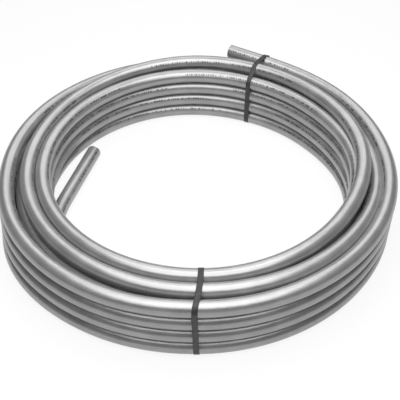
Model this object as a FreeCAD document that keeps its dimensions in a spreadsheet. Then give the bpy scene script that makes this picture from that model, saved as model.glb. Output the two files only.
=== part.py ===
"""Coil of multilayer pipe, tied with two straps, as a parametric FreeCAD document.

The frame is +Z up, with its origin on the axis of the coil's eye, at the level the coil lies on.
Directions round the coil are counted from -Y, anticlockwise seen from above, as the pipe winds.
"""
import FreeCAD, Part
import math
import os
import Sketcher
from FreeCAD import Vector

SIZES = [
    # the pipe
    ("pipe_diameter", 32.0, "outside diameter of the pipe"),
    ("pipe_wall", 3.0, "thickness of the pipe's wall"),
    # the winding
    ("eye_radius", 314.0, "clear radius inside the innermost turn"),
    ("columns", 3.0, "how many turns lie side by side"),
    ("layers", 4.0, "how many turns lie one above the other"),
    ("column_gap", 4.0, "gap between turns side by side"),
    ("layer_gap", 1.0, "gap between turns one above the other"),
    # the free end in the eye: a straight run that bends into the lowest inner turn
    ("inner_run_direction", 254.0, "direction in which the run passes nearest the axis"),
    ("inner_run_inset", 31.0, "how far inside the eye's edge the run's centre line passes"),
    ("inner_run_overhang", 84.0, "length of the run past its point nearest the axis"),
    ("inner_run_lift", 3.0, "height of the run above the lowest layer"),
    ("inner_bend_radius", 176.0, "radius of the bend into the turn"),
    ("inner_bend_depth", 4.0, "how far past the turn's centre line the bend ends"),
    # the free end on top of the outer column: a rising turn with a straight run after it
    ("outer_rise_direction", 72.0, "where the last turn starts to rise out of its column"),
    ("outer_rise_sweep", 87.0, "angle from there to where it leaves the coil's curve"),
    ("outer_rise_slope", 3.6, "slope at which it rises, in degrees"),
    ("outer_rise_offset", 3.0, "how far it lies outside its column"),
    ("outer_run_length", 80.0, "length of the straight run at the free end"),
    ("outer_run_clearance", 1.5, "gap between the straight run and the turn beneath it"),
    ("outer_run_approach", 320.0, "length along which a fitting slides onto the run"),
    # the turn that crosses over the middle column
    ("crossing_direction", 70.0, "where the crossing turn starts to rise"),
    ("crossing_slope", 3.4, "slope at which it rises, in degrees"),
    ("crossing_offset", -3.0, "how far it lies outside the middle column"),
    ("rise_depth", 5.0, "how deep a rising turn starts below the top layer"),
    # the straps
    ("strap_width", 11.0, "width of a strap's band"),
    ("strap_thickness", 1.2, "thickness of a strap's band"),
    ("strap_clearance", 0.3, "gap between a strap and the pipe that it ties"),
    ("front_strap_direction", 0.0, "direction of the front strap"),
    ("rear_strap_direction", 158.0, "direction of the rear strap"),
]

# How far a bore's cutter stands out of the pipe's end.
CUTTER_MARGIN = 1.0

# The level of a layer and the radius of a column are written from the sheet's own names.
PIPE_RADIUS = "Sizes.pipe_diameter / 2"
LIFT = "Sizes.strap_thickness + Sizes.strap_clearance"


def column_radius(column):
    """Centre-line radius of a column of turns, counted from 0 at the eye."""
    pitch = "(Sizes.pipe_diameter + Sizes.column_gap)"
    return f"(Sizes.eye_radius + {PIPE_RADIUS} + {column} * {pitch})"


def layer_level(layer):
    """Height of the centre line of a layer of turns, counted from 0 at the bottom."""
    pitch = "(Sizes.pipe_diameter + Sizes.layer_gap)"
    return f"({LIFT} + {PIPE_RADIUS} + {layer} * {pitch})"


def make_sheet(document):
    """Write the driving dimensions into a spreadsheet, one named cell each."""
    sheet = document.addObject("Spreadsheet::Sheet", "Sizes")
    for row, (name, value, meaning) in enumerate(SIZES, start=1):
        sheet.set(f"A{row}", name)
        sheet.set(f"B{row}", str(value))
        sheet.set(f"C{row}", meaning)
        sheet.setAlias(f"B{row}", name)
    document.recompute()
    return sheet


def make_body(document, name):
    """Add a PartDesign body."""
    body = document.addObject("PartDesign::Body", name)
    body.Label = name
    return body


def sketch_on(body, name, role):
    """Add a sketch to a body, on the origin plane that has the given role."""
    plane = next(item for item in body.Origin.OriginFeatures if item.Role == role)
    sketch = body.newObject("Sketcher::SketchObject", name)
    sketch.AttachmentSupport = (plane, [""])
    sketch.MapMode = "FlatFace"
    return sketch


def drive(sketch, constraint, expression):
    """Add a dimension to a sketch and let an expression drive it."""
    index = sketch.addConstraint(constraint)
    sketch.setExpression(f"Constraints[{index}]", expression)


def evaluate(sketch, expression):
    """Value of an expression in the sheet's names, as a plain number."""
    result = sketch.evalExpression(expression)
    return float(getattr(result, "Value", result))


def outline_turns(columns, layers):
    """Turns round the edge of the section, anticlockwise, with the arc that each one shows.

    Each item is the column, the layer and the arc's first and last angles in degrees.
    """
    right, top = columns - 1, layers - 1
    corners = {(0, 0): (90, 360), (right, 0): (180, 450), (right, top): (270, 540), (0, top): (0, 270)}
    walk = [(column, 0) for column in range(columns)]
    walk += [(right, layer) for layer in range(1, layers)]
    walk += [(column, top) for column in range(right - 1, -1, -1)]
    walk += [(0, layer) for layer in range(top - 1, 0, -1)]
    sides = []
    for column, layer in walk:
        if (column, layer) in corners:
            first, last = corners[(column, layer)]
        elif layer == 0:
            first, last = 180, 360
        elif column == right:
            first, last = 270, 450
        elif layer == top:
            first, last = 0, 180
        else:
            first, last = 90, 270
        sides.append((column, layer, first, last))
    return sides


def add_arc(sketch, x_expression, y_expression, radius_expression, first, last):
    """Add an arc to a sketch, with its centre and radius driven by expressions."""
    centre = Vector(evaluate(sketch, x_expression), evaluate(sketch, y_expression), 0)
    circle = Part.Circle(centre, Vector(0, 0, 1), evaluate(sketch, radius_expression))
    arc = sketch.addGeometry(Part.ArcOfCircle(circle, math.radians(first), math.radians(last)))
    drive(sketch, Sketcher.Constraint("DistanceX", -1, 1, arc, 3, centre.x), x_expression)
    drive(sketch, Sketcher.Constraint("DistanceY", -1, 1, arc, 3, centre.y), y_expression)
    drive(sketch, Sketcher.Constraint("Radius", arc, circle.Radius), radius_expression)
    return arc


def add_joining_line(sketch, arc, next_arc, tangent):
    """Join the end of one arc to the start of the next with a straight line."""
    start = sketch.getPoint(arc, 2)
    end = sketch.getPoint(next_arc, 1)
    line = sketch.addGeometry(Part.LineSegment(start, end))
    meets = "Tangent" if tangent else "Coincident"
    sketch.addConstraint(Sketcher.Constraint(meets, arc, 2, line, 1))
    sketch.addConstraint(Sketcher.Constraint(meets, line, 2, next_arc, 1))


def make_turned_coil(document, sheet):
    """Turn the section of the whole winding round the eye: a lobe shows for each outer turn."""
    body = make_body(document, "turned_coil")
    section = sketch_on(body, "winding_section", "XZ_Plane")
    arcs = []
    for column, layer, first, last in outline_turns(int(sheet.columns), int(sheet.layers)):
        arc = add_arc(section, column_radius(column), layer_level(layer), PIPE_RADIUS, first, last)
        for end, angle in ((1, first), (2, last)):
            squares = "Vertical" if angle % 180 == 90 else "Horizontal"
            section.addConstraint(Sketcher.Constraint(squares, arc, end, arc, 3))
        arcs.append(arc)
    for arc, next_arc in zip(arcs, arcs[1:] + arcs[:1]):
        add_joining_line(section, arc, next_arc, tangent=False)
    turned = body.newObject("PartDesign::Revolution", "turned_winding")
    turned.Profile = section
    turned.ReferenceAxis = (section, ["V_Axis"])
    turned.Angle = 360.0
    section.Visibility = False
    return body


def add_torus(document, name, radius, sweep, placement):
    """Add a bent stretch of pipe: part of a torus, bound to the sheet."""
    torus = document.addObject("Part::Torus", name)
    torus.Angle1 = -180.0
    torus.Angle2 = 180.0
    torus.setExpression("Radius1", radius)
    torus.setExpression("Radius2", PIPE_RADIUS)
    torus.setExpression("Angle3", sweep)
    torus.setExpression("Placement", placement)
    return torus


def add_cylinder(document, name, radius, length, placement):
    """Add a straight stretch of pipe, or the cutter of its bore, bound to the sheet."""
    cylinder = document.addObject("Part::Cylinder", name)
    cylinder.setExpression("Radius", radius)
    cylinder.setExpression("Height", length)
    cylinder.setExpression("Placement", placement)
    return cylinder


def turned_about_z(angle):
    """Expression for a rotation about Z by an expression's angle."""
    return f"rotation(vector(0; 0; 1); {angle})"


def turned_about_x(angle):
    """Expression for a rotation about X by an expression's angle."""
    return f"rotation(vector(1; 0; 0); {angle})"


def placed(x, y, z, rotation):
    """Expression for a placement from three lengths and a rotation."""
    return f"placement(vector({x}; {y}; {z}); {rotation})"


def inner_run_reach():
    """Distance from the coil's axis to the inner run's centre line."""
    return "(Sizes.eye_radius - Sizes.inner_run_inset)"


def inner_bend_start():
    """Distance along the inner run from its point nearest the axis to the start of its bend."""
    target = f"({column_radius(0)} + Sizes.inner_bend_depth)"
    reach = inner_run_reach()
    return f"sqrt(({target} - {reach}) * ({target} + {reach} - 2 * Sizes.inner_bend_radius))"


def make_inner_end(document):
    """Free end in the eye: straight run and bend into the lowest inner turn, and the bore's cutter."""
    frame = placed("0", "0", f"{layer_level(0)} + Sizes.inner_run_lift",
                   turned_about_z("Sizes.inner_run_direction - 90"))
    reach = inner_run_reach()
    overhang = "Sizes.inner_run_overhang"
    run_length = f"{overhang} + {inner_bend_start()}"
    run = add_cylinder(document, "inner_run", PIPE_RADIUS, run_length,
                       f"{frame} * {placed(reach, f'-{overhang}', '0', turned_about_x('-90'))}")
    bend_sweep = f"atan2({inner_bend_start()}; {reach} - Sizes.inner_bend_radius)"
    bend_centre = f"{reach} - Sizes.inner_bend_radius"
    bend = add_torus(document, "inner_bend", "Sizes.inner_bend_radius", bend_sweep,
                     f"{frame} * {placed(bend_centre, inner_bend_start(), '0', turned_about_z('0'))}")
    cutter_start = f"-{overhang} - {CUTTER_MARGIN}"
    bore = add_cylinder(document, "inner_bore", f"{PIPE_RADIUS} - Sizes.pipe_wall",
                        f"{run_length} + {CUTTER_MARGIN}",
                        f"{frame} * {placed(reach, cutter_start, '0', turned_about_x('-90'))}")
    return [run, bend], bore


def rising_frame(direction, slope):
    """Placement of a turn that starts just below the top layer and rises at a slope."""
    level = f"{layer_level('(Sizes.layers - 1)')} - Sizes.rise_depth"
    return placed("0", "0", level, f"{turned_about_z(f'{direction} - 90')} * {turned_about_x(slope)}")


def outer_rise_radius():
    """Centre-line radius of the last turn where it rises above the outer column."""
    return f"({column_radius('(Sizes.columns - 1)')} + Sizes.outer_rise_offset)"


def make_outer_end(document):
    """Free end on top of the outer column: rising turn and straight run, and the bore's cutter.

    The last item is the room round the run, which the turn beneath it leaves free.
    """
    frame = rising_frame("Sizes.outer_rise_direction", "Sizes.outer_rise_slope")
    sweep = "Sizes.outer_rise_sweep"
    rise = add_torus(document, "outer_rise", outer_rise_radius(), sweep, frame)
    turned = placed("0", "0", "0", turned_about_z(sweep))
    along = placed(outer_rise_radius(), "0", "0", turned_about_x("-90"))
    run = add_cylinder(document, "outer_run", PIPE_RADIUS, "Sizes.outer_run_length",
                       f"{frame} * {turned} * {along}")
    bore = add_cylinder(document, "outer_bore", f"{PIPE_RADIUS} - Sizes.pipe_wall",
                        f"Sizes.outer_run_length + {CUTTER_MARGIN}",
                        f"{frame} * {turned} * {along}")
    room = add_cylinder(document, "outer_run_room", f"{PIPE_RADIUS} + Sizes.outer_run_clearance",
                        "Sizes.outer_run_approach", f"{frame} * {turned} * {along}")
    return [rise, run], bore, room


def make_crossing(document):
    """Turn that crosses over the middle column, from the inner turns to the outer ones."""
    middle = column_radius("(Sizes.columns - 1) / 2")
    frame = rising_frame("Sizes.crossing_direction", "Sizes.crossing_slope")
    return add_torus(document, "crossing_turn", f"{middle} + Sizes.crossing_offset", "180", frame)


def make_pipe_coil(document, sheet):
    """The whole pipe as one solid: the turned winding, its raised turns and its two open ends."""
    coil = make_turned_coil(document, sheet)
    inner_stretches, inner_bore = make_inner_end(document)
    outer_stretches, outer_bore, outer_room = make_outer_end(document)
    winding = document.addObject("Part::Cut", "winding")
    winding.Base = coil
    winding.Tool = outer_room
    solid = document.addObject("Part::MultiFuse", "solid_pipe")
    solid.Shapes = [winding, *inner_stretches, *outer_stretches, make_crossing(document)]
    bores = document.addObject("Part::MultiFuse", "end_bores")
    bores.Shapes = [inner_bore, outer_bore]
    pipe = document.addObject("Part::Cut", "pipe_coil")
    pipe.Base = solid
    pipe.Tool = bores
    pipe.Label = "pipe_coil"
    return pipe


def rise_at(direction, slope, radius, here):
    """Height above the top layer of a rising turn where it leaves a strap's band."""
    rise_in_band = f"Sizes.strap_width / 2 * tan({slope})"
    return f"{radius} * sin({here} - {direction}) * sin({slope}) - Sizes.rise_depth + {rise_in_band}"


def make_strap(document, name, direction, centres):
    """Band round the section of the coil: two belts round the same pipes, one outside the other.

    centres holds expressions for the pipes that the band bends round, anticlockwise.
    """
    body = make_body(document, name)
    body.setExpression("Placement", placed("0", "0", "0", turned_about_z(f"{direction} - 90")))
    section = sketch_on(body, f"{name}_section", "XZ_Plane")
    inner_face = f"{PIPE_RADIUS} + Sizes.strap_clearance"
    outer_face = f"{inner_face} + Sizes.strap_thickness"
    points = [Vector(evaluate(section, x), evaluate(section, y), 0) for x, y in centres]
    count = len(points)
    headings = []
    for index, point in enumerate(points):
        run = points[(index + 1) % count] - point
        headings.append(math.degrees(math.atan2(run.y, run.x)))
    for face in (inner_face, outer_face):
        arcs = []
        for index, (x, y) in enumerate(centres):
            first = headings[index - 1] - 90
            turn = (headings[index] - headings[index - 1]) % 360
            arcs.append(add_arc(section, x, y, face, first, first + turn))
        for arc, next_arc in zip(arcs, arcs[1:] + arcs[:1]):
            add_joining_line(section, arc, next_arc, tangent=True)
    band = body.newObject("PartDesign::Pad", f"{name}_band")
    band.Profile = section
    band.setExpression("Length", "Sizes.strap_width")
    band.Midplane = True
    section.Visibility = False
    return body


def make_straps(document):
    """The two straps: the front one ties a plain stack, the rear one also the raised turns."""
    first, last = column_radius(0), column_radius("(Sizes.columns - 1)")
    bottom, top = layer_level(0), layer_level("(Sizes.layers - 1)")
    square = [(first, bottom), (last, bottom), (last, top), (first, top)]
    front = make_strap(document, "strap_front", "Sizes.front_strap_direction", square)
    here = "Sizes.rear_strap_direction"
    crossing_radius = f"({column_radius('(Sizes.columns - 1) / 2')} + Sizes.crossing_offset)"
    outer_rise = rise_at("Sizes.outer_rise_direction", "Sizes.outer_rise_slope", outer_rise_radius(), here)
    crossing_rise = rise_at("Sizes.crossing_direction", "Sizes.crossing_slope", crossing_radius, here)
    raised = [(first, bottom), (last, bottom), (outer_rise_radius(), f"{top} + {outer_rise}"),
              (crossing_radius, f"{top} + {crossing_rise}"), (first, top)]
    rear = make_strap(document, "strap_rear", here, raised)
    return [front, rear]


def check(document, pieces):
    """Stop if a feature failed, or a piece is empty, invalid or not one solid."""
    for item in document.Objects:
        if {"Invalid", "Error"} & set(item.State):
            raise RuntimeError(f"{item.Name} failed: {item.State}")
    for piece in pieces:
        shape = piece.Shape
        if shape.isNull() or not shape.isValid() or len(shape.Solids) != 1:
            raise RuntimeError(f"{piece.Label} is not one valid solid")
        box = shape.BoundBox
        print(f"{piece.Label}: volume {shape.Volume:.0f} mm3, x {box.XMin:.1f} {box.XMax:.1f}, "
              f"y {box.YMin:.1f} {box.YMax:.1f}, z {box.ZMin:.2f} {box.ZMax:.2f}")


def main():
    """Build the document, check it and write one STEP file for each piece."""
    document = FreeCAD.newDocument("multilayer_pipe_coil")
    sheet = make_sheet(document)
    pieces = [make_pipe_coil(document, sheet), *make_straps(document)]
    document.recompute()
    check(document, pieces)
    os.makedirs("parts", exist_ok=True)
    for piece in pieces:
        piece.Shape.exportStep(f"parts/{piece.Label}.step")


main()
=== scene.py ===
"""Looks of the multilayer pipe coil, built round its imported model.

The winding is one pipe on one smooth route, from the free end in the eye to the free end on top.
Directions round the coil are counted from -Y, anticlockwise seen from above, in degrees.
"""

import logging
import math
from dataclasses import dataclass, field
from enum import Enum

import bpy
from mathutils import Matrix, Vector

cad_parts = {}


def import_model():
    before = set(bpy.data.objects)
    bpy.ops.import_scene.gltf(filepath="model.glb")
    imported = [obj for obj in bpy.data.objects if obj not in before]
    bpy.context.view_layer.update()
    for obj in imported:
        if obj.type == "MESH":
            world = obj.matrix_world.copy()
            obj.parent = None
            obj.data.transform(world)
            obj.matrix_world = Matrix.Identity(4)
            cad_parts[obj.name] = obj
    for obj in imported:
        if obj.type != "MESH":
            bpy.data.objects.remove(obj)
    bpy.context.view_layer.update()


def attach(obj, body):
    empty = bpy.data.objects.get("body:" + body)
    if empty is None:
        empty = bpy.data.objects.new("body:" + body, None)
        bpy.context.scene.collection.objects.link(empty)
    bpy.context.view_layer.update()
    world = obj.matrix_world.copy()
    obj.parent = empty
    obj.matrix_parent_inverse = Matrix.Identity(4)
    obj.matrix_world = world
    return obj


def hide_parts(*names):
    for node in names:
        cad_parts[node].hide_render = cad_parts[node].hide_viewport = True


log = logging.getLogger("pipe_coil")

FULL_TURN = 360.0
UP = Vector((0.0, 0.0, 1.0))


def direction_vector(degrees: float) -> Vector:
    """Unit vector that points from the coil's axis in a direction round the coil."""
    angle = math.radians(degrees)
    return Vector((math.sin(angle), -math.cos(angle), 0.0))


# ---------------------------------------------------------------- shader building


class Nodes:
    """Short calls for building one material's node tree."""

    def __init__(self, name: str) -> None:
        """Start an empty material with an output node."""
        self.material = bpy.data.materials.new(name)
        self.material.use_nodes = True
        self.tree = self.material.node_tree
        self.tree.nodes.clear()
        self.output = self.tree.nodes.new("ShaderNodeOutputMaterial")

    def add(self, kind: str, inputs: dict | None = None, **settings: object) -> bpy.types.Node:
        """Add a node.

        Args:
            kind: the node's type without its "ShaderNode" start.
            inputs: socket names or numbers, with a value or another node's socket for each.
            settings: properties of the node itself.

        Returns:
            The new node.
        """
        node = self.tree.nodes.new("ShaderNode" + kind)
        for key, value in settings.items():
            setattr(node, key, value)
        for key, value in (inputs or {}).items():
            if isinstance(value, bpy.types.NodeSocket):
                self.tree.links.new(value, node.inputs[key])
            else:
                node.inputs[key].default_value = value
        return node

    def math(self, operation: str, *values: object) -> bpy.types.NodeSocket:
        """Result of a Math node on numbers or sockets."""
        inputs = dict(enumerate(values))
        return self.add("Math", inputs, operation=operation).outputs[0]

    def ramp(self, factor: bpy.types.NodeSocket, low: float, high: float) -> bpy.types.NodeSocket:
        """Factor spread from 0 at low to 1 at high, with smooth ends."""
        inputs = {"Value": factor, "From Min": low, "From Max": high}
        return self.add("MapRange", inputs, interpolation_type="SMOOTHSTEP").outputs["Result"]

    def mix(self, factor: object, first: object, second: object) -> bpy.types.NodeSocket:
        """Colour mixed between two colours by a factor."""
        inputs = {0: factor, 6: first, 7: second}
        return self.add("Mix", inputs, data_type="RGBA").outputs[2]

    def finish(self, shader: bpy.types.NodeSocket) -> bpy.types.Material:
        """Connect the shader to the output and return the material."""
        self.tree.links.new(shader, self.output.inputs["Surface"])
        return self.material


def grey(value: float) -> tuple[float, float, float, float]:
    """Neutral colour with alpha 1."""
    return (value, value, value, 1.0)


@dataclass(frozen=True)
class JacketFinish:
    """Satin silver-grey polyethylene jacket, with extrusion lines, scuffs and a row of marks.

    The mesh's UV map gives metres along the pipe and the share of a turn round it.
    """

    light: float = 0.38
    dark: float = 0.30
    metallic: float = 0.6
    roughness: float = 0.33
    mark_grey: float = 0.07
    mark_angle: float = 0.395
    mark_drift: float = 0.07
    mark_height: float = 0.042
    mark_pitch: float = 0.006
    run_length: float = 0.55
    run_share: float = 0.7
    mark_fill: float = 0.85
    mark_strength: float = 0.9
    drift_scale: float = 0.45
    streaks_along: float = 1.4
    streaks_around: float = 46.0
    cloud_scale: float = 26.0
    grain_scale: float = 900.0

    def marks(self, nodes: Nodes, along: object, around: object) -> bpy.types.NodeSocket:
        """Row of plain short dashes along the pipe, grouped in runs with bare gaps between.

        Args:
            nodes: the material's nodes.
            along: metres along the pipe.
            around: share of a turn round the pipe.

        Returns:
            1 on a dash and 0 off it.
        """
        place = nodes.math("DIVIDE", along, self.mark_pitch)
        cell = nodes.math("FLOOR", place)
        width = nodes.add("TexWhiteNoise", {"W": cell}, noise_dimensions="1D").outputs["Value"]
        dash = nodes.math("LESS_THAN", nodes.math("FRACT", place),
                          nodes.math("MULTIPLY", width, self.mark_fill))
        run = nodes.math("FRACT", nodes.math("DIVIDE", along, self.run_length))
        dash = nodes.math("MULTIPLY", dash, nodes.math("LESS_THAN", run, self.run_share))
        wander = nodes.add("TexNoise", {"W": along, "Scale": self.drift_scale, "Detail": 0.0},
                           noise_dimensions="1D")
        shift = nodes.math("MULTIPLY_ADD", wander.outputs[0], self.mark_drift,
                           self.mark_angle - self.mark_drift / 2)
        offset = nodes.math("ABSOLUTE", nodes.math("SUBTRACT", around, shift))
        in_row = nodes.math("LESS_THAN", offset, self.mark_height / 2)
        return nodes.math("MULTIPLY", dash, in_row)

    def build(self) -> bpy.types.Material:
        """Build the jacket's material."""
        nodes = Nodes("silver_jacket")
        uv = nodes.add("UVMap", uv_map="length_and_turn")
        split = nodes.add("SeparateXYZ", {0: uv.outputs["UV"]})
        along, around = split.outputs[0], split.outputs[1]
        stretched = nodes.add("CombineXYZ", {0: nodes.math("MULTIPLY", along, self.streaks_along),
                                             1: nodes.math("MULTIPLY", around, self.streaks_around)})
        streaks = nodes.add("TexNoise", {"Vector": stretched.outputs[0], "Scale": 1.0, "Detail": 2.0})
        where = nodes.add("TexCoord")
        cloud = nodes.add("TexNoise", {"Vector": where.outputs["Object"], "Scale": self.cloud_scale,
                                       "Detail": 4.0})
        tone = nodes.math("MULTIPLY_ADD", streaks.outputs["Fac"], 0.55,
                          nodes.math("MULTIPLY", cloud.outputs["Fac"], 0.45))
        tone = nodes.ramp(tone, 0.36, 0.66)
        colour = nodes.mix(tone, grey(self.dark), grey(self.light))
        marks = self.marks(nodes, along, around)
        colour = nodes.mix(nodes.math("MULTIPLY", marks, self.mark_strength), colour, grey(self.mark_grey))
        grain = nodes.add("TexNoise", {"Vector": where.outputs["Object"], "Scale": self.grain_scale,
                                       "Detail": 3.0})
        height = nodes.math("MULTIPLY_ADD", streaks.outputs["Fac"], 0.7,
                            nodes.math("MULTIPLY", grain.outputs["Fac"], 0.15))
        bump = nodes.add("Bump", {"Strength": 0.03, "Distance": 0.0002, "Height": height})
        gloss = nodes.math("MULTIPLY_ADD", cloud.outputs["Fac"], 0.12, self.roughness - 0.06)
        shader = nodes.add("BsdfPrincipled", {"Base Color": colour, "Metallic": self.metallic,
                                              "Roughness": gloss, "Normal": bump.outputs[0]})
        return nodes.finish(shader.outputs[0])


@dataclass(frozen=True)
class PlainFinish:
    """Plain moulded or drawn finish with a fine grain: the bore, the cut edge's layers."""

    name: str
    colour: tuple[float, float, float, float]
    metallic: float
    roughness: float
    grain: float = 700.0
    darkest_share: float = 0.86

    def build(self) -> bpy.types.Material:
        """Build the finish's material."""
        nodes = Nodes(self.name)
        where = nodes.add("TexCoord")
        noise = nodes.add("TexNoise", {"Vector": where.outputs["Object"], "Scale": self.grain,
                                       "Detail": 4.0})
        shade = nodes.ramp(noise.outputs["Fac"], 0.3, 0.7)
        darker = tuple(self.darkest_share * channel for channel in self.colour[:3]) + (1.0,)
        colour = nodes.mix(shade, darker, self.colour)
        bump = nodes.add("Bump", {"Strength": 0.1, "Distance": 0.0003, "Height": noise.outputs["Fac"]})
        shader = nodes.add("BsdfPrincipled", {"Base Color": colour, "Metallic": self.metallic,
                                              "Roughness": self.roughness, "Normal": bump.outputs[0]})
        return nodes.finish(shader.outputs[0])


@dataclass(frozen=True)
class StrapFinish:
    """Dark polypropylene band with a rolled diamond relief and a satin sheen, with painted shade darkening
    the relief's troughs.
    """

    dark: float = 0.012
    light: float = 0.032
    roughness: float = 0.3
    diamond: float = 0.0016
    relief: float = 0.0002

    def build(self) -> bpy.types.Material:
        """Build the band's material. Its UV map is metres along and across the band."""
        nodes = Nodes("dark_band")
        uv = nodes.add("UVMap", uv_map="band")
        split = nodes.add("SeparateXYZ", {0: uv.outputs["UV"]})
        along, across = split.outputs[0], split.outputs[1]
        waves = []
        for operation in ("ADD", "SUBTRACT"):
            diagonal = nodes.math(operation, along, across)
            waves.append(nodes.math("SINE", nodes.math("MULTIPLY", diagonal, math.tau / self.diamond)))
        relief = nodes.math("MULTIPLY", waves[0], waves[1])
        # painted shade: the colour follows the relief's height, darker in its troughs and lighter on its
        # ridges, as shade would fall on the embossing
        shade = nodes.ramp(relief, -0.6, 0.9)
        colour = nodes.mix(shade, grey(self.dark), grey(self.light))
        bump = nodes.add("Bump", {"Strength": 0.5, "Distance": self.relief, "Height": relief})
        shader = nodes.add("BsdfPrincipled", {"Base Color": colour, "Metallic": 0.0,
                                              "Roughness": self.roughness, "Normal": bump.outputs[0]})
        return nodes.finish(shader.outputs[0])


# ---------------------------------------------------------------- meshes


def mesh_object(name: str, vertices: list, faces: list, materials: list) -> bpy.types.Object:
    """Make a smooth-shaded mesh object and put it in the scene.

    Args:
        name: the piece's name.
        vertices: corner positions in metres.
        faces: tuples of corner numbers.
        materials: the piece's material slots in order.

    Returns:
        The new object.
    """
    mesh = bpy.data.meshes.new(name)
    mesh.from_pydata(vertices, [], faces)
    for material in materials:
        mesh.materials.append(material)
    mesh.polygons.foreach_set("use_smooth", [True] * len(mesh.polygons))
    mesh.update()
    piece = bpy.data.objects.new(name, mesh)
    bpy.context.collection.objects.link(piece)
    return piece


def smooth_step(share: float) -> float:
    """Share from 0 to 1, eased at both ends."""
    return share * share * (3.0 - 2.0 * share)


@dataclass(frozen=True)
class Guide:
    """One place on the pipe's route: turn and direction, and radius and height in diameters."""

    turn: int
    direction: float
    radius: float
    height: float

    @property
    def angle(self) -> float:
        """Angle wound since the start of turn 0, in degrees."""
        return self.turn * FULL_TURN + self.direction


@dataclass
class PipeCoil:
    """The pipe: its section, its route through the coil and its two cut ends.

    Radii and heights of the winding are in pipe diameters. Turns are numbered from the eye, and turn 0
    starts at the front. In a few places strands run into each other: most deeply inside the stack at 7
    to 76 degrees, and on the wall of the eye at 10 to 113 degrees, under the turn that crosses over.
    """

    diameter: float = 0.032
    wall: float = 0.003
    base: float = 0.0015
    layer_pitch: float = 1.029
    inner_column: float = 10.3
    middle_column: float = 11.38
    inner_fan: float = 0.09
    outer_fan: float = 0.13
    layers: int = 4
    control_step: float = 7.5
    sides: int = 36
    bore_depth: float = 0.35
    layer_shares: tuple = (0.0, 0.40, 0.55, 1.0)
    route: list = field(default_factory=list)

    def level(self, layer: float) -> float:
        """Height of a layer's centre line, in diameters."""
        return 0.5 + layer * self.layer_pitch

    def tail_guides(self) -> list[Guide]:
        """Free end in the eye: a straight run on the floor that bends into the lowest turn."""
        reach, nearest = 8.81, 255.0
        guides = []
        for along in (-2.6, -1.3, 0.0, 1.3, 2.6, 3.7):
            direction = nearest + math.degrees(math.atan2(along, reach))
            guides.append(Guide(-1, direction, math.hypot(reach, along), self.level(0.06)))
        for direction, radius in ((283.0, 9.87), (290.0, 10.17), (300.0, 10.3)):
            guides.append(Guide(-1, direction, radius, self.level(0.0)))
        return guides

    def inner_guides(self) -> list[Guide]:
        """Inner column: each turn climbs one layer on its way from the front to the right.

        The lowest turn makes room for the free end: it swings out under the middle column, and comes
        back into the inner column one layer higher.
        """
        inner, middle = self.inner_column, self.middle_column
        guides = [Guide(0, 0.0, inner, self.level(0)), Guide(0, 266.0, inner + 0.45, self.level(0)),
                  Guide(0, 290.0, middle, self.level(0)), Guide(0, 310.0, middle + 0.4, self.level(0))]
        way_back = ((0.0, middle, 0.0), (30.0, middle - 0.05, 0.45), (50.0, middle - 0.2, 0.85),
                    (72.0, inner + 0.35, 1.0))
        for direction, radius, layer in way_back:
            guides.append(Guide(1, direction, radius, self.level(layer)))
        for layer in range(self.layers):
            if layer > 1:
                guides += [Guide(layer, 0.0, inner, self.level(layer - 1)),
                           Guide(layer, 45.0, inner + 0.05, self.level(layer - 0.35))]
            fan = self.inner_fan * (self.layers - 1 - layer)
            for direction, outward in ((90.0, 0.1), (130.0, -0.28), (152.0, -0.24), (180.0, 0.0),
                                       (196.0, 0.08 + 0.3 * fan), (222.0, 0.05 + fan)):
                guides.append(Guide(layer, direction, inner + outward, self.level(layer)))
            if layer:
                guides.append(Guide(layer, 270.0, inner + 0.05 + 0.3 * fan, self.level(layer)))
        return guides

    def crossing_guides(self) -> list[Guide]:
        """Turn over the stack into the middle column, and the middle column's way down."""
        top, middle = self.layers, self.middle_column
        return [
            Guide(top, 0.0, 10.23, 3.59), Guide(top, 45.0, 10.35, 3.85), Guide(top, 90.0, 10.68, 4.45),
            Guide(top, 130.0, 10.8, 4.3), Guide(top, 152.0, 10.98, 4.25), Guide(top, 190.0, 11.43, 4.1),
            Guide(top, 270.0, 11.35, 3.59),
            Guide(top + 1, 0.0, 11.31, 3.59), Guide(top + 1, 50.0, 11.45, 3.5),
            Guide(top + 1, 90.0, 11.6, 3.3), Guide(top + 1, 180.0, 11.45, 3.0),
            Guide(top + 1, 300.0, middle + 0.35, 2.6),
            Guide(top + 2, 0.0, middle, 2.56), Guide(top + 2, 180.0, middle, 2.0),
            Guide(top + 2, 300.0, middle + 0.4, 1.6),
            Guide(top + 3, 0.0, middle + 0.05, 1.53), Guide(top + 3, 100.0, middle + 0.2, 1.2),
        ]

    def outer_guides(self) -> list[Guide]:
        """Outer column: each turn climbs one layer at the back, and the last one rises to its free end."""
        first = self.layers + 4
        guides = [Guide(first - 1, 180.0, 12.0, 0.55), Guide(first - 1, 270.0, 12.65, 0.5)]
        for layer in range(self.layers):
            turn, level = first + layer, self.level(layer)
            fan = self.outer_fan * (self.layers - 1 - layer)
            guides += [Guide(turn - 1, 300.0, 12.82 + fan, level),
                       Guide(turn - 1, 330.0, 12.76 + 0.4 * fan, level),
                       Guide(turn, 0.0, 12.53 + 0.3 * fan, level), Guide(turn, 90.0, 12.4, level + 0.05)]
            if layer < self.layers - 1:
                guides += [Guide(turn, 150.0, 12.4, level + 0.35), Guide(turn, 210.0, 12.6, level + 0.75),
                           Guide(turn, 270.0, 12.62, self.level(layer + 1))]
        last = first + self.layers - 1
        guides += [Guide(last, 120.0, 12.36, 3.85), Guide(last, 148.0, 12.28, 4.08),
                   Guide(last, 158.0, 12.42, 4.16), Guide(last, 164.0, 12.64, 4.2),
                   Guide(last, 169.5, 12.98, 4.25)]
        return guides

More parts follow.
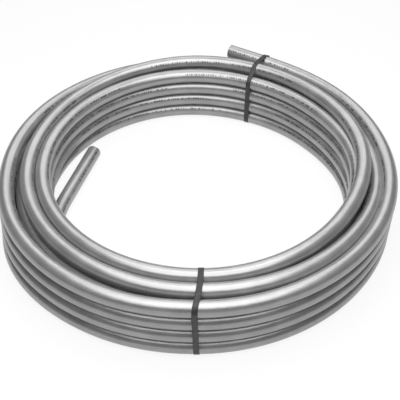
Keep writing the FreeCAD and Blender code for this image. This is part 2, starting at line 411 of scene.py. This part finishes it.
    def slopes(self, guides: list[Guide], values: list[float]) -> list[float]:
        """Slope at each guide that keeps the curve between guides free of bulges."""
        steps = [b.angle - a.angle for a, b in zip(guides, guides[1:])]
        rates = [(b - a) / step for a, b, step in zip(values, values[1:], steps)]
        slopes = [rates[0]]
        for before, after, left, right in zip(rates, rates[1:], steps, steps[1:]):
            if before * after <= 0.0:
                slopes.append(0.0)
                continue
            first, second = 2.0 * right + left, right + 2.0 * left
            slopes.append((first + second) / (first / before + second / after))
        return slopes + [rates[-1]]

    def control_points(self) -> list[Vector]:
        """Control points of the route, worked out in a loop round the coil."""
        guides = self.tail_guides() + self.inner_guides() + self.crossing_guides() + self.outer_guides()
        guides.sort(key=lambda guide: guide.angle)
        radii = [guide.radius for guide in guides]
        heights = [guide.height for guide in guides]
        radius_slopes = self.slopes(guides, radii)
        height_slopes = self.slopes(guides, heights)
        wound = guides[-1].angle - guides[0].angle
        count = round(wound / self.control_step)
        # A quadratic spline runs inside its control points by this much.
        spread = 1.0 / math.cos(math.radians(wound / count / 2.0))
        points, span = [], 0
        for number in range(count + 1):
            angle = guides[0].angle + wound * number / count
            while span < len(guides) - 2 and angle > guides[span + 1].angle:
                span += 1
            step = guides[span + 1].angle - guides[span].angle
            share = min(1.0, (angle - guides[span].angle) / step)
            place = []
            for values, slopes in ((radii, radius_slopes), (heights, height_slopes)):
                eased = smooth_step(share)
                place.append(values[span] * (1.0 - eased) + values[span + 1] * eased
                             + step * share * (1.0 - share) ** 2 * slopes[span]
                             - step * share ** 2 * (1.0 - share) * slopes[span + 1])
            radius, height = place
            point = direction_vector(angle) * radius * spread + UP * height
            points.append(point * self.diameter + UP * self.base)
        return points

    def read_route(self) -> list[Vector]:
        """Points along the route, read from its spline."""
        curve = bpy.data.curves.new("pipe_route", "CURVE")
        curve.dimensions = "3D"
        curve.resolution_u = 3
        points = self.control_points()
        spline = curve.splines.new("NURBS")
        spline.points.add(len(points) - 1)
        for point, place in zip(spline.points, points):
            point.co = (*place, 1.0)
        spline.order_u = 3
        spline.use_endpoint_u = True
        guide = bpy.data.objects.new("pipe_route", curve)
        line = bpy.data.meshes.new_from_object(guide)
        route = [vertex.co.copy() for vertex in line.vertices]
        bpy.data.objects.remove(guide)
        bpy.data.meshes.remove(line)
        bpy.data.curves.remove(curve)
        return route

    def length(self) -> float:
        """Length of the pipe in metres."""
        return sum((b - a).length for a, b in zip(self.route, self.route[1:]))

    def rings(self) -> list[tuple[Vector, Vector, Vector, float]]:
        """Centre, outward and upward directions, and metres along, at each point of the route."""
        rings, along = [], 0.0
        for number, point in enumerate(self.route):
            before = self.route[max(number - 1, 0)]
            after = self.route[min(number + 1, len(self.route) - 1)]
            if number:
                along += (point - before).length
            tangent = (after - before).normalized()
            outward = tangent.cross(UP).normalized()
            rings.append((point, outward, outward.cross(tangent), along))
        return rings

    def tube(self, rings: list, radius: float, inward: bool) -> tuple[list, list, list]:
        """Wall of a tube through the rings.

        Args:
            rings: from rings(), in order.
            radius: the wall's radius in metres.
            inward: whether the faces look at the centre line.

        Returns:
            Vertices, faces, and a pair of UV coordinates for each corner of each face.
        """
        vertices, faces, uvs = [], [], []
        for point, outward, upward, _ in rings:
            for side in range(self.sides):
                angle = math.tau * side / self.sides
                vertices.append(point + (outward * math.cos(angle) + upward * math.sin(angle)) * radius)
        for ring in range(len(rings) - 1):
            near, far = rings[ring][3], rings[ring + 1][3]
            for side in range(self.sides):
                following = (side + 1) % self.sides
                low, high = side / self.sides, (side + 1) / self.sides
                corners = [(ring * self.sides + side, near, low),
                           ((ring + 1) * self.sides + side, far, low),
                           ((ring + 1) * self.sides + following, far, high),
                           (ring * self.sides + following, near, high)]
                if not inward:
                    corners.reverse()
                faces.append(tuple(corner[0] for corner in corners))
                uvs.append([(along, around) for _, along, around in corners])
        return vertices, faces, uvs

    def build(self, jacket: bpy.types.Material, metal: bpy.types.Material,
              lining: bpy.types.Material) -> bpy.types.Object:
        """Build the pipe: the outer wall, both bores as deep as they show, and the cut edges' layers."""
        self.route = self.read_route()
        rings = self.rings()
        outer = self.diameter / 2.0
        bore = outer - self.wall
        vertices, faces, uvs = self.tube(rings, outer, inward=False)
        kinds = [0] * len(faces)
        total = rings[-1][3]
        ends = ([ring for ring in rings if ring[3] <= self.bore_depth],
                [ring for ring in rings if ring[3] >= total - self.bore_depth])
        for number, stretch in enumerate(ends):
            more, more_faces, more_uvs = self.tube(stretch, bore, inward=True)
            shift = len(vertices)
            vertices += more
            faces += [tuple(corner + shift for corner in face) for face in more_faces]
            uvs += more_uvs
            kinds += [2] * len(more_faces)
            starts = number == 0
            edge_ring, bore_ring = (stretch[0], stretch[-1]) if starts else (stretch[-1], stretch[0])
            self.close_edge(vertices, faces, uvs, kinds, edge_ring, starts)
            self.close_bore(vertices, faces, uvs, kinds, bore_ring, starts)
        pipe = mesh_object("pipe", vertices, faces, [jacket, metal, lining])
        layer = pipe.data.uv_layers.new(name="length_and_turn")
        layer.data.foreach_set("uv", [value for face in uvs for corner in face for value in corner])
        pipe.data.polygons.foreach_set("material_index", kinds)
        return pipe

    def close_edge(self, vertices: list, faces: list, uvs: list, kinds: list, ring: tuple,
                   starts: bool) -> None:
        """Add the cut edge at a free end: jacket, thin metal layer and lining, as flat rings."""
        point, outward, upward, along = ring
        outer = self.diameter / 2.0
        shift = len(vertices)
        for share in self.layer_shares:
            radius = outer - self.wall * share
            for side in range(self.sides):
                angle = math.tau * side / self.sides
                vertices.append(point + (outward * math.cos(angle) + upward * math.sin(angle)) * radius)
        for band in range(len(self.layer_shares) - 1):
            for side in range(self.sides):
                following = (side + 1) % self.sides
                first, second = shift + band * self.sides, shift + (band + 1) * self.sides
                face = [first + side, second + side, second + following, first + following]
                if not starts:
                    face.reverse()
                faces.append(tuple(face))
                uvs.append([(along, side / self.sides)] * 4)
                kinds.append(band)

    def close_bore(self, vertices: list, faces: list, uvs: list, kinds: list, ring: tuple,
                   starts: bool) -> None:
        """Close the bore out of sight, deep inside the pipe."""
        point, outward, upward, along = ring
        bore = self.diameter / 2.0 - self.wall
        shift = len(vertices)
        for side in range(self.sides):
            angle = math.tau * side / self.sides
            vertices.append(point + (outward * math.cos(angle) + upward * math.sin(angle)) * bore)
        face = list(range(shift, shift + self.sides))
        if not starts:
            face.reverse()
        faces.append(tuple(face))
        uvs.append([(along, 0.0)] * self.sides)
        kinds.append(2)

    def crossings(self, direction: float) -> list[tuple[float, float]]:
        """Where the pipe passes a direction round the coil: radius and height in metres."""
        ray = direction_vector(direction)
        side = direction_vector(direction + 90.0)
        found = []
        for before, after in zip(self.route, self.route[1:]):
            first, second = before.dot(side), after.dot(side)
            if first < 0.0 <= second and before.dot(ray) > 0.0:
                place = before.lerp(after, -first / (second - first))
                found.append((place.dot(ray), place.z))
        return found


class StrapPlace(Enum):
    """The two straps: CAD node, direction, and how far each leans along the coil at four corners.

    The leans are in metres, for the inner bottom, outer bottom, outer top and inner top.
    """

    FRONT = ("strap_front", 0.0, (0.0, -0.006, -0.011, 0.002))
    REAR = ("strap_rear", 158.0, (0.0, 0.0, -0.016, -0.001))


@dataclass
class Strap:
    """A flat band pulled tight round the section of the coil, with its ends welded one on the other."""

    place: StrapPlace
    width: float = 0.011
    thickness: float = 0.0007
    clearance: float = 0.0003
    overlap: float = 0.034
    overlap_from_corner: float = 0.052
    ramp: float = 0.004
    weld_length: float = 0.014
    rib_pitch: float = 0.0014
    rib_height: float = 0.00012
    lift_gap: float = 0.00005
    edge_round: float = 0.00015
    step: float = 0.0007
    corner_step: float = math.radians(4.0)

    def hull(self, centres: list[tuple[float, float]]) -> list[tuple[float, float]]:
        """Outermost pipes of the section, anticlockwise from the inner bottom one."""
        ordered = sorted(set(centres))

        def half(points: list) -> list:
            """One half of the hull."""
            kept = []
            for point in points:
                while len(kept) > 1 and self.turn(kept[-2], kept[-1], point) <= 0.0:
                    kept.pop()
                kept.append(point)
            return kept[:-1]

        return half(ordered) + half(ordered[::-1])

    @staticmethod
    def turn(first: tuple, second: tuple, third: tuple) -> float:
        """Positive where three points turn left."""
        return ((second[0] - first[0]) * (third[1] - first[1])
                - (second[1] - first[1]) * (third[0] - first[0]))

    def belt(self, centres: list, radius: float) -> list[tuple[float, float, float, float]]:
        """Closed belt round the pipes: radius and height, and the outward normal, at each point."""
        corners = self.hull(centres)
        count = len(corners)
        headings = []
        for number, corner in enumerate(corners):
            ahead = corners[(number + 1) % count]
            headings.append(math.atan2(ahead[1] - corner[1], ahead[0] - corner[0]))
        points = []
        for number, (across, height) in enumerate(corners):
            first = headings[number - 1] - math.pi / 2.0
            sweep = (headings[number] - headings[number - 1]) % math.tau
            steps = max(1, math.ceil(sweep / self.corner_step))
            for step in range(steps + 1):
                angle = first + sweep * step / steps
                normal = (math.cos(angle), math.sin(angle))
                points.append((across + radius * normal[0], height + radius * normal[1], *normal))
        return points + points[:1]

    def stations(self, belt: list) -> tuple[list[tuple], float]:
        """Even steps along the band, from one end to the other, past the place where it overlaps itself.

        Returns:
            Radius, height, outward normal and metres along at each step, and the belt's length.
        """
        lengths = [0.0]
        for before, after in zip(belt, belt[1:]):
            lengths.append(lengths[-1] + math.dist(before[:2], after[:2]))
        around = lengths[-1]
        count = round((around + self.overlap) / self.step)
        found = []
        for number in range(count + 1):
            along = (around + self.overlap) * number / count
            place = (along + around - self.overlap_from_corner) % around
            index = max(i for i, length in enumerate(lengths[:-1]) if length <= place)
            share = (place - lengths[index]) / (lengths[index + 1] - lengths[index])
            mixed = [a + (b - a) * share for a, b in zip(belt[index], belt[index + 1])]
            size = math.hypot(mixed[2], mixed[3])
            found.append((mixed[0], mixed[1], mixed[2] / size, mixed[3] / size, along))
        return found, around

    def lift(self, along: float, around: float) -> float:
        """How far the band stands off the pipes: its outer end lies on its inner end."""
        share = min(1.0, max(0.0, (along - around + self.ramp) / self.ramp))
        return smooth_step(share) * (self.thickness + self.lift_gap)

    def rib(self, along: float, around: float) -> float:
        """Height of the weld's pressed ribs on the outer end."""
        into_weld = along - around - (self.overlap - self.weld_length) / 2.0
        if not 0.0 <= into_weld <= self.weld_length:
            return 0.0
        return self.rib_height * math.sin(math.pi * into_weld / self.rib_pitch) ** 2

    def lean(self, across_share: float, height_share: float) -> float:
        """How far the band leans along the coil at a place in the section."""
        inner_low, outer_low, outer_high, inner_high = self.place.value[2]
        low = inner_low + (outer_low - inner_low) * across_share
        high = inner_high + (outer_high - inner_high) * across_share ** 2
        return low + (high - low) * height_share

    def build(self, coil: PipeCoil, finish: bpy.types.Material) -> bpy.types.Object:
        """Build the band round the pipes that pass its direction."""
        node, direction, _ = self.place.value
        ray, side = direction_vector(direction), direction_vector(direction + 90.0)
        belt = self.belt(coil.crossings(direction), coil.diameter / 2.0 + self.clearance)
        stations, around = self.stations(belt)
        inner, outer = min(point[0] for point in belt), max(point[0] for point in belt)
        low, high = min(point[1] for point in belt), max(point[1] for point in belt)
        half = side * self.width / 2.0
        vertices, faces, uvs = [], [], []
        for across, height, out_across, out_height, along in stations:
            lean = self.lean((across - inner) / (outer - inner), (height - low) / (high - low))
            normal = ray * out_across + UP * out_height
            place = ray * across + UP * height + side * lean + normal * self.lift(along, around)
            edge = normal * (self.thickness + self.rib(along, around))
            vertices += [place - half, place + half, place + half + edge, place - half + edge]
        rows = (0.0, self.width, self.width + self.thickness, 2.0 * self.width + self.thickness,
                2.0 * (self.width + self.thickness))
        last = len(stations) - 1
        for number in range(last):
            near, far = stations[number][4], stations[number + 1][4]
            for corner in range(4):
                following = (corner + 1) % 4
                faces.append((number * 4 + corner, number * 4 + following,
                              number * 4 + 4 + following, number * 4 + 4 + corner))
                uvs += [(near, rows[corner]), (near, rows[corner + 1]), (far, rows[corner + 1]),
                        (far, rows[corner])]
        faces += [(3, 2, 1, 0), (last * 4, last * 4 + 1, last * 4 + 2, last * 4 + 3)]
        uvs += [(0.0, 0.0), (self.width, 0.0), (self.width, self.thickness), (0.0, self.thickness)] * 2
        band = mesh_object(node + "_band", vertices, faces, [finish])
        layer = band.data.uv_layers.new(name="band")
        layer.data.foreach_set("uv", [value for corner in uvs for value in corner])
        bevel = band.modifiers.new("edge", "BEVEL")
        bevel.width = self.edge_round
        bevel.segments = 2
        bevel.limit_method = "ANGLE"
        bevel.angle_limit = math.radians(50.0)
        return band


# ---------------------------------------------------------------- studio


@dataclass
class Studio:
    """Pale floor, soft lamps and the camera."""

    elevation: float = 42.66
    distance: float = 1.6445
    focal_length: float = 66.15
    sensor: float = 36.0
    shift_up: float = 0.00325
    floor_size: float = 80.0
    floor_white: float = 0.88
    floor_grey: float = 0.85
    floor_drop: float = 0.0002
    world_light: float = 0.10

    def floor_material(self) -> bpy.types.Material:
        """White floor that keeps a soft shadow."""
        nodes = Nodes("pale_floor")
        diffuse = nodes.add("BsdfDiffuse", {"Color": grey(self.floor_grey)})
        white = nodes.add("Emission", {"Color": grey(1.0), "Strength": 1.0})
        path = nodes.add("LightPath")
        seen = nodes.math("MAXIMUM", path.outputs["Is Camera Ray"], path.outputs["Is Glossy Ray"])
        seen = nodes.math("MAXIMUM", seen, path.outputs["Is Transmission Ray"])
        share = nodes.math("MULTIPLY", seen, self.floor_white)
        surface = nodes.add("MixShader", {0: share, 1: diffuse.outputs[0], 2: white.outputs[0]})
        return nodes.finish(surface.outputs[0])

    def build_floor(self) -> bpy.types.Object:
        """Add the floor."""
        half = self.floor_size / 2.0
        corners = [(-half, -half, 0.0), (half, -half, 0.0), (half, half, 0.0), (-half, half, 0.0)]
        floor = mesh_object("floor", corners, [(0, 1, 2, 3)], [self.floor_material()])
        floor.location.z = -self.floor_drop
        return floor

    def add_lamp(self, name: str, place: Vector, size: tuple[float, float], power: float) -> None:
        """Add a soft rectangular lamp that looks at the coil's middle."""
        lamp = bpy.data.lights.new(name, "AREA")
        lamp.shape = "RECTANGLE"
        lamp.size, lamp.size_y = size
        lamp.energy = power
        holder = bpy.data.objects.new(name, lamp)
        holder.location = place
        holder.rotation_euler = (-place).to_track_quat("-Z", "Y").to_euler()
        bpy.context.collection.objects.link(holder)

    def build_lights(self) -> None:
        """Add the lamps and the world's light."""
        self.add_lamp("overhead_softbox", Vector((0.0, -0.3, 1.35)), (1.5, 1.7), 31.0)
        self.add_lamp("back_softbox", Vector((0.0, 2.1, 2.1)), (3.2, 1.5), 36.0)
        world = bpy.data.worlds.new("studio")
        world.use_nodes = True
        backdrop = world.node_tree.nodes["Background"]
        backdrop.inputs["Color"].default_value = grey(1.0)
        backdrop.inputs["Strength"].default_value = self.world_light
        bpy.context.scene.world = world

    def build_camera(self) -> None:
        """Add the camera, aimed at the middle of the level that the coil lies on."""
        data = bpy.data.cameras.new("camera")
        data.sensor_width = self.sensor
        data.lens = self.focal_length
        data.shift_y = self.shift_up
        camera = bpy.data.objects.new("camera", data)
        lift = math.radians(self.elevation)
        camera.location = Vector((0.0, -math.cos(lift), math.sin(lift))) * self.distance
        camera.rotation_euler = (math.pi / 2.0 - lift, 0.0, 0.0)
        bpy.context.collection.objects.link(camera)
        bpy.context.scene.camera = camera


def main() -> None:
    """Load the frame, build the pieces and the studio, and report each one."""
    logging.basicConfig(level=logging.INFO, format="%(name)s: %(message)s")
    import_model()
    bpy.context.scene.view_settings.view_transform = "Standard"
    jacket = JacketFinish().build()
    metal = PlainFinish("aluminium_layer", grey(0.75), 1.0, 0.35).build()
    lining = PlainFinish("white_lining", (0.80, 0.80, 0.78, 1.0), 0.0, 0.45).build()
    coil = PipeCoil()
    pipe = coil.build(jacket, metal, lining)
    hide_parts("pipe_coil")
    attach(pipe, "root")
    log.info("pipe: %.2f m long, %d faces", coil.length(), len(pipe.data.polygons))
    band_finish = StrapFinish().build()
    for place in StrapPlace:
        band = Strap(place).build(coil, band_finish)
        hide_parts(place.value[0])
        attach(band, "root")
        log.info("%s: %d faces", place.value[0], len(band.data.polygons))
    studio = Studio()
    studio.build_floor()
    studio.build_lights()
    studio.build_camera()


if __name__ == "__main__":
    main()
